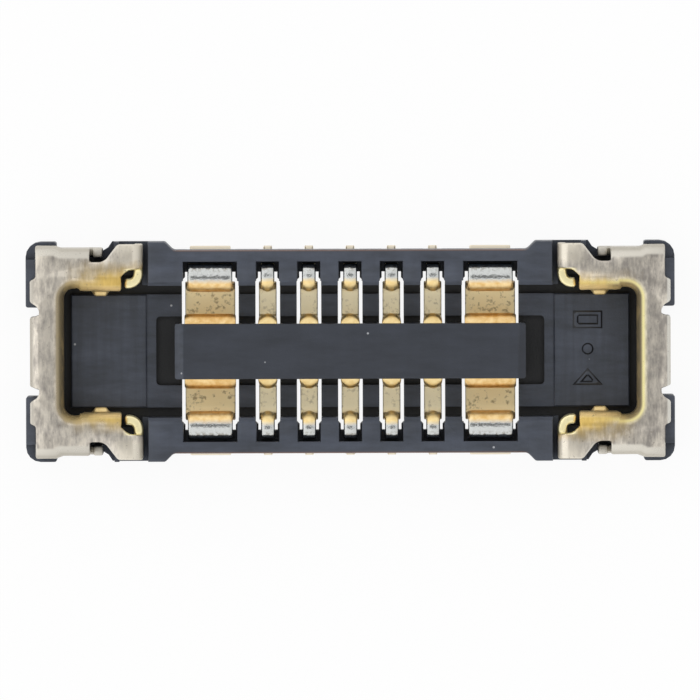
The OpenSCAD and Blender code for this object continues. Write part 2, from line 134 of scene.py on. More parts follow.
def rectangle(x0, x1, y0, y1):
    """The corners of a rectangle, in turn."""
    return [(x0, y0), (x1, y0), (x1, y1), (x0, y1)]


def both_halves(half):
    """The full outline whose right half is given."""
    return half + [(-x, y) for x, y in reversed(half)]


def both_rows(half):
    """The full outline whose far half is given."""
    return half + [(x, -y) for x, y in reversed(half)]


def both_ends(corners):
    """The places to round in all four quarters."""
    return [(s * x, t * y, cut) for x, y, cut in corners for s in (-1, 1) for t in (-1, 1)]


def sweep(x=0.0, y=0.0, z=0.0):
    """Makes the outline that is drawn a solid of this length."""
    bpy.ops.mesh.select_all(action="SELECT")
    pull(x, y, z)
    outwards()


def prism(name, outline, low, high, corners=()):
    """A block with this outline from low to high, its upright corners rounded."""
    piece = draw(name, [(x, y, low) for x, y in outline])
    round_points(corners)
    sweep(z=high - low)
    return piece


def block(name, x0, x1, y0, y1, z0, z1):
    """A plain block between these places."""
    return prism(name, rectangle(x0, x1, y0, y1), z0, z1)


def work(piece, other, how):
    """Cuts other out of piece, or welds it on, and removes it."""
    for thing in (piece, other):
        bpy.context.view_layer.objects.active = thing
        leave()
    only(piece)
    step = piece.modifiers.new(how.lower(), "BOOLEAN")
    step.operation = how
    step.object = other
    step.solver = "EXACT"
    bpy.ops.object.modifier_apply(modifier=step.name)
    bpy.data.objects.remove(other)


def copies(piece, places):
    """One object made of this piece repeated at each (x, y sign), the far row mirrored."""
    leave()
    made = []
    for x, sign in places:
        one = another(piece)
        one.location = (x, 0, 0)
        one.scale = (1, sign, 1)
        apply_place()
        if sign < 0:
            bpy.ops.object.mode_set(mode="EDIT")
            outwards()
            leave()
        made.append(one)
    bpy.data.objects.remove(piece)
    bpy.ops.object.select_all(action="DESELECT")
    for one in made:
        one.select_set(True)
    bpy.context.view_layer.objects.active = made[0]
    bpy.ops.object.join()
    return bpy.context.object


def settle(piece, turn=0.0, shift=0.0):
    """Turns a finished piece from millimetres to metres, at the origin, and shades its rounded edges smooth."""
    only(piece)
    piece.location = (shift * 0.001, 0, 0)
    piece.rotation_euler = (0, 0, turn)
    piece.scale = (0.001, 0.001, 0.001)
    apply_place()
    bpy.ops.object.shade_smooth_by_angle(angle=math.radians(40))
    even = piece.modifiers.new("flat faces shade flat", "WEIGHTED_NORMAL")
    even.keep_sharp = True
    bpy.ops.object.modifier_apply(modifier=even.name)
    piece.select_set(False)


def housing_shape():
    """The housing as one solid, cut and welded from drawn blocks."""
    # The middle block with its shoulders, its top edges broken
    middle = [(1.715, 0.932), (1.57, 0.932), (1.50, 0.862)]
    body = prism("housing", both_rows(both_halves(middle)), base, wall_top,
                 both_ends([(1.57, 0.932, 0.012), (1.50, 0.862, 0.02)]))
    pick("EDGE", lambda x, y, z: z > wall_top - 1e-4)
    bpy.ops.mesh.bevel(offset=0.018, segments=2, affect="EDGES")
    # The lower end blocks with their round outer corners
    end = [(2.61, 0.378), (2.75, 0.378), (2.75, 0.932), (2.49, 0.932), (2.49, 0.799),
           (2.104, 0.799), (2.104, 0.85), (2.055, 0.88), (2.02, 0.932), (1.69, 0.932)]
    for side in (1, -1):
        ends = prism("ends", both_rows([(side * x, y) for x, y in end]), base, seat_top,
                     both_ends([(2.75, 0.932, 0.125), (2.61, 0.378, 0.02), (2.75, 0.378, 0.02), (2.49, 0.932, 0.02)]))
        pick("EDGE", lambda x, y, z: z > seat_top - 1e-4 and abs(x) > 1.7)
        bpy.ops.mesh.bevel(offset=0.012, segments=2, affect="EDGES")
        for row in (1, -1):
            ledge = block("ledge", side * 2.6 - 0.15, side * 2.6 + 0.2,
                          row * 0.93 - 0.145, row * 0.93 + 0.145, 0.465, 0.6)
            work(ends, ledge, "DIFFERENCE")
            toe_room = block("toe_room", side * 2.15 - 0.15, side * 2.15 + 0.15,
                             row * 0.85 - 0.11, row * 0.85 + 0.11, 0.12, 0.6)
            work(ends, toe_room, "DIFFERENCE")
        work(body, ends, "UNION")
    # The mating cavity, wider at its ends for the lips of the fittings
    work(body, block("cavity", -1.8, 1.8, -half_cavity, half_cavity, groove_top, 0.7), "DIFFERENCE")
    for side in (1, -1):
        room = prism("room", rectangle(side * 1.765, side * 2.533, -0.645, 0.645),
                     groove_top, 0.7, both_ends([(2.533, 0.645, 0.19)]))
        work(body, room, "DIFFERENCE")
    # The pockets that the arms' guides hang in
    for side in (1, -1):
        pocket = block("pocket", *sorted((side * 1.715, side * 1.96)), floor_edge, 1.03, 0.2, 0.7)
        work(body, copies(pocket, [(0, 1), (0, -1)]), "DIFFERENCE")
    # The lead-in chamfers along the cavity
    for side in (1, -1):
        lead = draw("lead", [(-1.8, side * 0.46, 0.42), (-1.8, side * 0.69, 0.65), (-1.8, side * 0.46, 0.65)])
        sweep(x=3.6)
        work(body, lead, "DIFFERENCE")
    # The floor with its moat, and the pads at its ends
    floor = block("floor", -floor_end, floor_end, -floor_edge, floor_edge, base + 0.01, floor_top)
    for side in (1, -1):
        pad = prism("pad", rectangle(side * pad_start, side * floor_end, -floor_edge, floor_edge), base + 0.02, pad_top)
        pick("EDGE", lambda x, y, z: z > pad_top - 1e-4)
        bpy.ops.mesh.bevel(offset=0.01, segments=1, affect="EDGES")
        work(floor, pad, "UNION")
    moat = prism("moat", rectangle(-moat_end, moat_end, -half_moat, half_moat), groove_top, 0.3,
                 both_ends([(moat_end, half_moat, 0.035)]))
    work(floor, moat, "DIFFERENCE")
    work(body, floor, "UNION")
    # The island, bevelled at both ends and eased along its length
    island = prism("island", rectangle(-island_end, island_end, -half_island, half_island), base + 0.01, island_top,
                   both_ends([(island_end, half_island, 0.02)]))
    pick("EDGE", lambda x, y, z: z > island_top - 1e-4)
    bpy.ops.mesh.bevel(offset=0.015, segments=2, affect="EDGES")
    for side in (1, -1):
        slope = draw("slope", [(side * 1.39, 0.4, 0.5), (side * 1.53, 0.4, 0.4), (side * 1.53, 0.4, 0.5)])
        sweep(y=-0.8)
        work(island, slope, "DIFFERENCE")
    work(body, island, "UNION")
    # What each contact needs: floor slot, pocket in the island, slot in the wall, notch for the tail
    for xs, half, crest in ((signal_xs, signal_half, signal_crest), (power_xs, power_half, power_crest)):
        low, leg, up, grip, grow = half + 0.029, crest + 0.024, crest + 0.039, crest - 0.003, 0.056
        plan = [(low, 0.17), (low, 0.6), (leg, 0.6 + low - leg), (leg, 0.672), (grip, 0.672), (grip, 0.742)]
        slot = prism("slot", both_halves(plan), -0.1, 0.25)
        tip_room = block("tip_room", -low, low, 0.17, 0.29, 0.1, 0.42)
        tail_room = block("tail_room", -crest - 0.025, crest + 0.025, 0.715, 1.0, -0.1, 0.075)
        mouth = [(low, floor_edge), (low, 0.597), (up, 0.6), (up, slot_end)]
        wall_slot = prism("wall_slot", both_halves(mouth), 0.25, wall_top - 0.006)
        # The wall's slot flares at its top
        pick("FACE", lambda x, y, z: z > wall_top - 0.0061)
        pull(z=grow)
        bpy.ops.transform.resize(value=((up + grow) / up, 1, 1), center_override=(0, 0, 0))
        bpy.ops.transform.translate(value=(0, grow, 0))
        for room in (slot, tip_room, wall_slot, tail_room):
            work(body, copies(room, [(x, s) for x in xs for s in (1, -1)]), "DIFFERENCE")
    # The mould's raised marks on the right-hand pad, with sloped sides: an oblong frame, a dot, a triangle
    oblong, hole = rectangle(-0.125, 0.125, -0.075, 0.075), rectangle(-0.078, 0.078, -0.03, 0.03)
    dot = [(0.05 * math.cos(math.radians(a)), 0.05 * math.sin(math.radians(a))) for a in range(0, 360, 15)]
    triangle = [(-0.13, -0.07), (0.13, -0.07), (0.0, 0.075)]
    opening = [(-0.04, -0.035), (0.04, -0.035), (0.0, 0.012)]
    for outline, inner, y in ((oblong, hole, 0.258), (dot, None, 0.009), (triangle, opening, -0.228)):
        mark = prism("mark", [(mark_x + a, y + b) for a, b in outline], 0.15, pad_top + 0.015)
        if inner:
            work(mark, prism("hollow", [(mark_x + a, y + b) for a, b in inner], 0.1, 0.2), "DIFFERENCE")
            bpy.ops.object.mode_set(mode="EDIT")
        pick("EDGE", lambda x, y, z: z > pad_top + 0.0149)
        bpy.ops.mesh.bevel(offset=0.0135, segments=1, affect="EDGES")
        work(body, mark, "UNION")
    # Round pads left by the ejector pins underneath, and the stub of the gate on the near side
    for side in (1, -1):
        bpy.ops.object.select_all(action="DESELECT")
        bpy.ops.mesh.primitive_cylinder_add(vertices=48, radius=0.12, depth=0.02, location=(side * 2.05, 0, base))
        pin = bpy.context.object
        apply_place()
        work(body, pin, "DIFFERENCE")
    stub = prism("gate", rectangle(-0.05, 0.05, -0.869, -0.84), 0.26, 0.33,
                 [(-0.05, -0.869, 0.006), (0.05, -0.869, 0.006)])
    work(body, stub, "UNION")
    return body


housing = housing_shape()
bpy.ops.object.mode_set(mode="EDIT")
bpy.ops.mesh.select_all(action="SELECT")
bpy.ops.mesh.remove_doubles(threshold=1e-5)
bpy.ops.mesh.dissolve_degenerate(threshold=1e-5)
outwards()
bpy.ops.mesh.vert_connect_concave()
leave()
settle(housing)


def colour(text):
    """An sRGB colour written as six hex digits, as linear RGBA."""
    parts = [int(text[i:i + 2], 16) / 255 for i in (0, 2, 4)]
    return tuple(c / 12.92 if c <= 0.04045 else ((c + 0.055) / 1.055) ** 2.4 for c in parts) + (1.0,)


def add(tree, kind, *sources, stops=(), **settings):
    """Adds one node to a material. Its inputs, in turn or by name, take a value, a colour in hex digits or what feeds
    them: an output, or a node for its first output. A ramp's stops are places, each with its colour or its grey."""
    node = tree.nodes.new("ShaderNode" + kind)
    for name, source in (*enumerate(sources), *settings.items()):
        if hasattr(node, str(name)):
            setattr(node, name, source)
            continue
        socket = node.inputs[name.replace("_", " ") if isinstance(name, str) else name]
        if isinstance(source, bpy.types.Node):
            source = source.outputs[0]
        if isinstance(source, bpy.types.NodeSocket):
            tree.links.new(source, socket)
        else:
            socket.default_value = colour(source) if isinstance(source, str) else source
    if stops:
        marks = node.color_ramp.elements
        marks[0].position, marks[1].position = stops[0][0], stops[-1][0]
        for at, _ in stops[1:-1]:
            marks.new(at)
        for mark, (_, level) in zip(marks, stops):
            mark.color = colour(level) if isinstance(level, str) else (level, level, level, 1)
    return node


def every(size):
    """The scale at which a pattern repeats about once in this many millimetres."""
    return 1000 / size


def new_material(name):
    """An empty material with its shader and the position in the piece's own space, in metres."""
    made = bpy.data.materials.new(name)
    made.use_nodes = True
    tree = made.node_tree
    return made, tree, tree.nodes["Principled BSDF"], add(tree, "TexCoord").outputs["Object"]


def housing_material():
    """Liquid-crystal polymer, black, glass filled, moulded in a spark-eroded steel mould: a matt slate that shows the
    flow of the melt as faint clouds, a fine sandy grain, a painted brown highlight along the wall's outer top edge,
    painted shade that makes deep floors almost black, and dust."""
    made, tree, shader, place = new_material("liquid-crystal polymer, moulded matt")
    parts = add(tree, "SeparateXYZ", place).outputs
    flow_place = add(tree, "Mapping", place, Scale=(0.3, 1, 1)).outputs[0]
    flow = add(tree, "TexNoise", flow_place, Scale=every(0.12), Detail=4, Roughness=0.6).outputs["Fac"]
    slate = add(tree, "ValToRGB", flow, stops=((0.3, "323740"), (0.72, "474D5A")))
    # The pads at the two ends carry the mould's machining marks, which run across the part. A map range goes from 0 to
    # 1, or between its last two numbers, while what it is given, mostly metres, goes between the first two.
    along = add(tree, "Math", parts["X"], operation="ABSOLUTE")
    on_pad = add(tree, "MapRange", along, 0.0017, 0.00173, 0.1, 0.32)
    across = add(tree, "Mapping", place, Scale=(1, 0.08, 0.08)).outputs[0]
    marks = add(tree, "TexNoise", across, Scale=every(0.06), Detail=3).outputs["Fac"]
    cut = add(tree, "Math", add(tree, "MapRange", marks, 0.4, 0.62), on_pad, operation="MULTIPLY")
    marked = add(tree, "MixRGB", cut, slate, "282B31")
    # The island is coloured a little darker, and the slope at its right end darker still as painted shade, since the
    # light comes more from the left
    far = add(tree, "Math", parts["Y"], operation="ABSOLUTE")
    middle = add(tree, "MapRange", far, 0.00024, 0.000235)
    shade_shifted_x = add(tree, "Math", add(tree, "Math", parts["X"], 4e-5, operation="SUBTRACT"), operation="ABSOLUTE")
    inside = add(tree, "MapRange", shade_shifted_x, 0.00146, 0.00145, 0, 0.62)
    island_tone_and_end_shade = add(tree, "Math", middle, inside, operation="MULTIPLY")
    darker = add(tree, "MixRGB", island_tone_and_end_shade, marked, "23272F")
    # Painted shade: the floors that lie deepest inside are coloured almost black
    deep_floor_shade = add(tree, "MapRange", parts["Z"], 0.00015, 0.00011)
    for source, edge, past in ((far, 0.00079, 0.0008), (along, 0.00256, 0.00257), (parts["Z"], 3e-5, 2.5e-5)):
        within = add(tree, "MapRange", source, past, edge)
        deep_floor_shade = add(tree, "Math", deep_floor_shade, within, operation="MULTIPLY")
    recess_shaded = add(tree, "MixRGB", deep_floor_shade, darker, "0B0D10")
    # Painted shade darkens the corners round the raised marks
    foot = add(tree, "MapRange", parts["Z"], 0.00018, 0.0002)
    foot = add(tree, "ValToRGB", foot, stops=((0, 0), (0.02, 0), (0.05, 0.9), (0.6, 0.9), (0.73, 0), (1, 0)))
    on_end = add(tree, "MapRange", along, 0.00185, 0.00186)
    mark_foot_shade = add(tree, "Math", foot, on_end, operation="MULTIPLY")
    recess_shaded = add(tree, "MixRGB", mark_foot_shade, recess_shaded, "101216")
    # A painted brown highlight along the wall's outer top edge, which catches the light from below
    rim = add(tree, "MapRange", far, 0.00084, 0.00085)
    under = add(tree, "MapRange", parts["Z"], 0.000549, 0.000544)
    high = add(tree, "MapRange", parts["Z"], 0.00049, 0.00053)
    lit_rim = add(tree, "Math", rim, under, operation="MULTIPLY")
    lit_rim = add(tree, "Math", lit_rim, high, operation="MULTIPLY")
    wall = add(tree, "MapRange", along, 0.00152, 0.00145)
    lit_rim = add(tree, "Math", lit_rim, wall, operation="MULTIPLY")
    rim_highlight = add(tree, "MixRGB", lit_rim, recess_shaded, "6B4E42")
    # Dust
    dust = add(tree, "TexVoronoi", place, Scale=every(0.14), feature="F1")
    speck = add(tree, "MapRange", dust.outputs["Distance"], 0.08, 0.05)
    rare = add(tree, "TexWhiteNoise", dust.outputs["Position"])
    few = add(tree, "Math", rare.outputs["Value"], 0.8, operation="GREATER_THAN")
    dusty = add(tree, "Math", speck, few, operation="MULTIPLY")
    final = add(tree, "MixRGB", dusty, rim_highlight, "A6A8AC")
    tree.links.new(final.outputs[0], shader.inputs["Base Color"])
    grain = add(tree, "TexNoise", place, Scale=every(0.014), Detail=3).outputs["Fac"]
    bump = add(tree, "Bump", Height=grain, Strength=0.5, Distance=2.5e-6)
    tree.links.new(bump.outputs[0], shader.inputs["Normal"])
    shader.inputs["Roughness"].default_value = 0.42
    shader.inputs["IOR"].default_value = 1.5
    return made


housing.data.materials.append(housing_material())
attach(housing, "root")
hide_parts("housing")
housing.name = "moulded_housing"


# Signal contacts
# Each is a strip of phosphor bronze, stamped, folded and plated, pressed into the wall from below by the teeth on its
# leg. Gold covers the faces that touch the plug, and bare nickel the crest, to stop the solder. Ten are alike.
strip_t, crest_mid = 0.05, 0.525
# Heights up the leg, with 1 where the strip is widened into a tooth
tooth_rows = [(0.088, 0), (0.1, 1), (0.13, 1), (0.145, 0), (0.16, 1), (0.19, 1), (0.205, 0)]


def roll_edges(width, steps, region, inside):
    """Rolls the sharp edges that lie inside a region, or those that don't."""
    bpy.ops.mesh.select_mode(type="EDGE")
    bpy.ops.mesh.select_all(action="DESELECT")
    bpy.ops.mesh.edges_select_sharp(sharpness=math.radians(60))
    mesh = bpy.context.object.data
    for edge in bmesh.from_edit_mesh(mesh).edges:
        if edge.select and all(region(*v.co) for v in edge.verts) != inside:
            edge.select_set(False)
    bmesh.update_edit_mesh(mesh)
    bpy.ops.mesh.bevel(offset=width, segments=steps, affect="EDGES", clamp_overlap=False)


def finish_sheet(piece, thickness, width, spared=lambda x, y, z: False):
    """Gives a folded sheet its thickness and rolls its cut edges, save in a region. Stays in edit mode."""
    outwards()
    leave()
    only(piece)
    body = piece.modifiers.new("thickness", "SOLIDIFY")
    body.thickness = thickness
    body.offset = 0
    body.use_quality_normals = True
    bpy.ops.object.modifier_apply(modifier=body.name)
    bpy.ops.object.mode_set(mode="EDIT")
    roll_edges(width, 2, spared, False)


def contact_material():
    """Phosphor bronze, rolled, nickel plated, then gold over the contact faces: warm and bright on the noses, duller
    and freckled on the flat belly where handling has worn it, and bare silvery nickel over the crest."""
    made, tree, shader, place = new_material("gold over nickel on phosphor bronze strip")
    parts = add(tree, "SeparateXYZ", place).outputs
    out = add(tree, "Math", parts["Y"], operation="ABSOLUTE")
    wander = add(tree, "TexNoise", place, Scale=every(0.045), Detail=3).outputs["Fac"]
    edge = add(tree, "Math", wander, 2.4e-5, out, operation="MULTIPLY_ADD")
    # On the wide contacts the nickel reaches further down the crest
    beside = add(tree, "Math", parts["X"], operation="ABSOLUTE")
    wide = add(tree, "MapRange", beside, 0.0009, 0.00091, 0, 1.6e-5)
    edge = add(tree, "Math", edge, wide, operation="ADD")
    gold = add(tree, "ValToRGB", wander, stops=((0.3, "E8BF7B"), (0.7, "FFE3AB")))
    # The narrow contacts are less worn
    narrow = add(tree, "MapRange", beside, 0.00091, 0.0009)
    gold = add(tree, "MixRGB", add(tree, "Math", narrow, 0.4, operation="MULTIPLY"), gold, "FFEFB4")
    # The belly is low, flat and worn duller
    low = add(tree, "MapRange", parts["Z"], 0.00016, 0.000112)
    cloud = add(tree, "TexNoise", place, Scale=every(0.09), Detail=2).outputs["Fac"]
    dull = add(tree, "MixRGB", narrow, "EFDFB4", "F8EDCC")
    worn = add(tree, "MixRGB", low, gold, dull)
    # Nickel shows on the crest
    crest = add(tree, "MapRange", edge, 0.0006, 0.00064)
    high = add(tree, "MapRange", parts["Z"], 0.0003, 0.00036)
    bare = add(tree, "Math", crest, high, operation="MULTIPLY")
    plated = add(tree, "MixRGB", bare, worn, "CACCCA")
    # The tail is tinned for the solder
    tail = add(tree, "MapRange", out, 0.00074, 0.00076)
    tinned = add(tree, "MixRGB", tail, plated, "F2E8D4")
    # Freckles: pores 0.02 mm across that gather in clusters
    pores = add(tree, "TexNoise", place, Scale=every(0.03), Detail=2, Roughness=0.6).outputs["Fac"]
    gather = add(tree, "MapRange", cloud, 0.4, 0.6, 0.72, 0.5)
    depth = add(tree, "Math", pores, gather, operation="SUBTRACT")
    freckled = add(tree, "MapRange", depth, -0.04, 0.16)
    flat = add(tree, "Math", low, tail, operation="SUBTRACT", use_clamp=True)
    amount = add(tree, "MapRange", narrow, 0, 1, 0.62, 0.34)
    dark = add(tree, "Math", freckled, amount, operation="MULTIPLY")
    dark = add(tree, "Math", dark, flat, operation="MULTIPLY")
    # The nickel is pitted too, where the strip bends down into its slot
    bend = add(tree, "MapRange", out, 0.00067, 0.000705)
    bend = add(tree, "Math", bend, bare, operation="MULTIPLY")
    cracks = add(tree, "MapRange", pores, 0.46, 0.62, 0, 0.55)
    bend = add(tree, "Math", bend, cracks, operation="MULTIPLY")
    dark = add(tree, "Math", dark, bend, operation="MAXIMUM")
    final = add(tree, "MixRGB", dark, tinned, "72624A")
    tree.links.new(final.outputs[0], shader.inputs["Base Color"])
    # The crest is the smoothest, the belly the roughest
    rough = add(tree, "MapRange", low, 0, 1, 0.42, 0.5)
    smooth = add(tree, "MapRange", bare, 0, 1, 0, -0.22)
    rough = add(tree, "Math", rough, smooth, operation="ADD")
    tree.links.new(rough.outputs[0], shader.inputs["Roughness"])
    # The die draws fine lines along the strip, and the pits break up what the crest mirrors
    drawn = add(tree, "Mapping", place, Scale=(1, 0.12, 0.12)).outputs[0]
    grain = add(tree, "TexNoise", drawn, Scale=every(0.025), Detail=3).outputs["Fac"]
    pitted = add(tree, "Math", pores, bare, operation="MULTIPLY")
    height = add(tree, "Math", pitted, 3, grain, operation="MULTIPLY_ADD")
    bump = add(tree, "Bump", Height=height, Strength=0.6, Distance=2.0e-6)
    tree.links.new(bump.outputs[0], shader.inputs["Normal"])
    shader.inputs["Metallic"].default_value = 1.0
    return made


contact_metal = contact_material()


def coin(region, half, radius, fall, way):
    """Presses the strip's corners back in a region of its side view, each column a little more than the one inside,
    along an arc that ends just short of a quarter circle."""
    arc, arc_drop = 0.95, 0.688
    shape = bmesh.from_edit_mesh(bpy.context.object.data)
    for out in sorted({round(abs(v.co.x), 4) for v in shape.verts if region(v.co.y, v.co.z)}):
        over = arc * min(1.0, max(0.0, out - half + radius) / radius)
        drop = fall * (1 - math.sqrt(1 - over * over)) / arc_drop
        if drop > 0:
            pick("VERT", lambda x, y, z: region(y, z) and abs(abs(x) - out) < 6e-5)
            way(drop)


def form_contact(name, belly, crest, hook, tail, apex, falls, rounding, columns):
    """Folds one contact, for row a and at x = 0, from its centre line, then gives the strip its changing width. belly,
    crest, hook and tail are half widths, and falls is how far the coining presses the hook, the nose and the crest."""
    # The centre line's corners from the tail to the tip, as (y, z, radius of the bend)
    strip_path = [(0.89, 0.025, 0), (0.715, 0.025, 0.05), (0.715, crest_mid - 0.022, 0.05),
                  (apex + 0.014, crest_mid, 0.05), (0.531, crest_mid, apex - 0.532), (0.531, 0.335, 0.05),
                  (0.569, 0.12, 0.04), (0.5, 0.085, 0.18), (0.266, 0.085, 0.05), (0.297, 0.335, 0.045),
                  (0.2075, 0.38, 0)]
    piece = draw(name, [(-belly, y, z) for y, z, _ in strip_path], closed=False)
    for last, this, following in zip(strip_path, strip_path[1:], strip_path[2:]):
        here = Vector(this[:2])
        before = (Vector(last[:2]) - here).normalized()
        after = (Vector(following[:2]) - here).normalized()
        turn = math.pi - before.angle(after)
        pick("VERT", lambda x, y, z: abs(y - here.x) < 1e-4 and abs(z - here.y) < 1e-4)
        steps = max(2, math.ceil(turn / math.radians(9)))
        bpy.ops.mesh.bevel(offset=this[2] * math.tan(turn / 2), segments=steps, affect="VERTICES")
    bpy.ops.mesh.select_all(action="SELECT")
    pull(x=2 * belly)
    # The edges that cross the strip are divided into its columns
    pick("EDGE", lambda x, y, z: True)
    cross = [e for e in bmesh.from_edit_mesh(piece.data).edges if abs(e.verts[0].co.x - e.verts[1].co.x) > belly]
    bpy.ops.mesh.select_all(action="DESELECT")
    for edge in cross:
        edge.select_set(True)
    bmesh.update_edit_mesh(piece.data)
    bpy.ops.mesh.subdivide(number_cuts=columns - 1)
    # Rows where the width changes: the teeth, the start of the tail, and the widening under the hook
    for height, _ in tooth_rows:
        pick("FACE", lambda x, y, z: y > 0.66 and 0.05 < z < 0.3)
        bpy.ops.mesh.bisect(plane_co=(0, 0, height), plane_no=(0, 0, 1))
    for place in (0.806, 0.82):
        pick("FACE", lambda x, y, z: y > 0.73 and z < 0.05)
        bpy.ops.mesh.bisect(plane_co=(0, place, 0), plane_no=(0, 1, 0))
    for height in (0.22, 0.26):
        pick("FACE", lambda x, y, z: 0.5 < y < 0.62 and z > 0.14)
        bpy.ops.mesh.bisect(plane_co=(0, 0, height), plane_no=(0, 0, 1))
    for wide, part in ((tail, lambda y, z: y > 0.815), (crest, lambda y, z: 0.66 < y < 0.815 or z > 0.5),
                       ((crest + hook) / 2, lambda y, z: y < 0.66 and 0.42 < z < 0.5),
                       (hook, lambda y, z: 0.45 < y < 0.66 and 0.255 < z < 0.42)):
        pick("VERT", lambda x, y, z: part(y, z))
        bpy.ops.transform.resize(value=(wide / belly, 1, 1), center_override=(0, 0, 0))
    for height, is_tooth in tooth_rows:
        if is_tooth:
            for side in (1, -1):
                pick("VERT", lambda x, y, z: y > 0.66 and abs(z - height) < 1e-4 and x * side > crest - 1e-4)
                bpy.ops.transform.translate(value=(side * 0.02, 0, 0))
    nose = belly + 0.006
    pick("VERT", lambda x, y, z: y < 0.35 and z > 0.2)
    bpy.ops.transform.resize(value=(nose / belly, 1, 1), center_override=(0, 0, 0))
    finish_sheet(piece, strip_t, 0.011)
    # The hook, its crest and the nose by the island are coined, so that each is round from side to side
    top, tip = (0, apex, crest_mid + strip_t / 2), (0, 0.17, 0.426)
    hook_reach, nose_reach = apex - 0.506, 0.153
    coin(lambda y, z: 0.45 < y < apex and z > 0.29, hook, min(hook, rounding), falls[0],
         lambda drop: bpy.ops.transform.resize(value=(1,) + 2 * (1 - drop / hook_reach,), center_override=top))
    coin(lambda y, z: y < 0.35 and z > 0.2, nose, rounding, falls[1],
         lambda drop: bpy.ops.transform.resize(value=(1,) + 2 * (1 - drop / nose_reach,), center_override=tip))
    coin(lambda y, z: y > 0.5 and z > 0.43, crest, min(crest, rounding), falls[2],
         lambda drop: bpy.ops.transform.translate(value=(0, 0, -drop)))
    leave()
    piece.data.materials.append(contact_metal)
    return piece


def place_contacts(model, names_and_places):
    """Copies the one modelled contact to each place, turned round for row b, and makes each its own piece."""
    for name, x, turn in names_and_places:
        one = another(model)
        one.name = "formed_" + name
        settle(one, turn, x)
        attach(one, "root")
        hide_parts(name)
    bpy.data.objects.remove(model)


signal_model = form_contact("signal", signal_half, signal_crest, hook=signal_crest, tail=0.038, apex=0.645,
                            falls=(0.034, 0.068, 0.011), rounding=0.075, columns=12)
place_contacts(signal_model, [
    (f"signal_contact_{row}{i + 1}", x, turn)
    for row, turn in (("a", 0), ("b", math.pi)) for i, x in enumerate(signal_xs)])


# Power contacts
# The same strip of gilded phosphor bronze in a wider cut, one at each end of each row, to carry the supply current.
# Each is folded in the same die and pressed into its own wider slot.
power_model = form_contact("power", power_half, power_crest, hook=0.201, tail=0.174, apex=0.624,
                           falls=(0.016, 0.012, 0.008), rounding=0.04, columns=28)
place_contacts(power_model, [
    (f"power_contact_{row}_{side}", x, turn)
    for row, turn in (("a", 0), ("b", math.pi)) for side, x in zip(("left", "right"), power_xs)])


# End fittings
# Each is blanked from one sheet of bronze 0.08 mm thick and folded: a flat frame, lips down round the mating cavity
# with a locking bump on each side, feet for the solder outside, and an arm that ends in a curled guide for the plug.
sheet_t, sheet_mid, fold = 0.08, 0.56, 0.06
lip_y, foot_y, toe_x, guide_x, end_x = 0.57, 0.84, 2.207, 1.797, 2.675


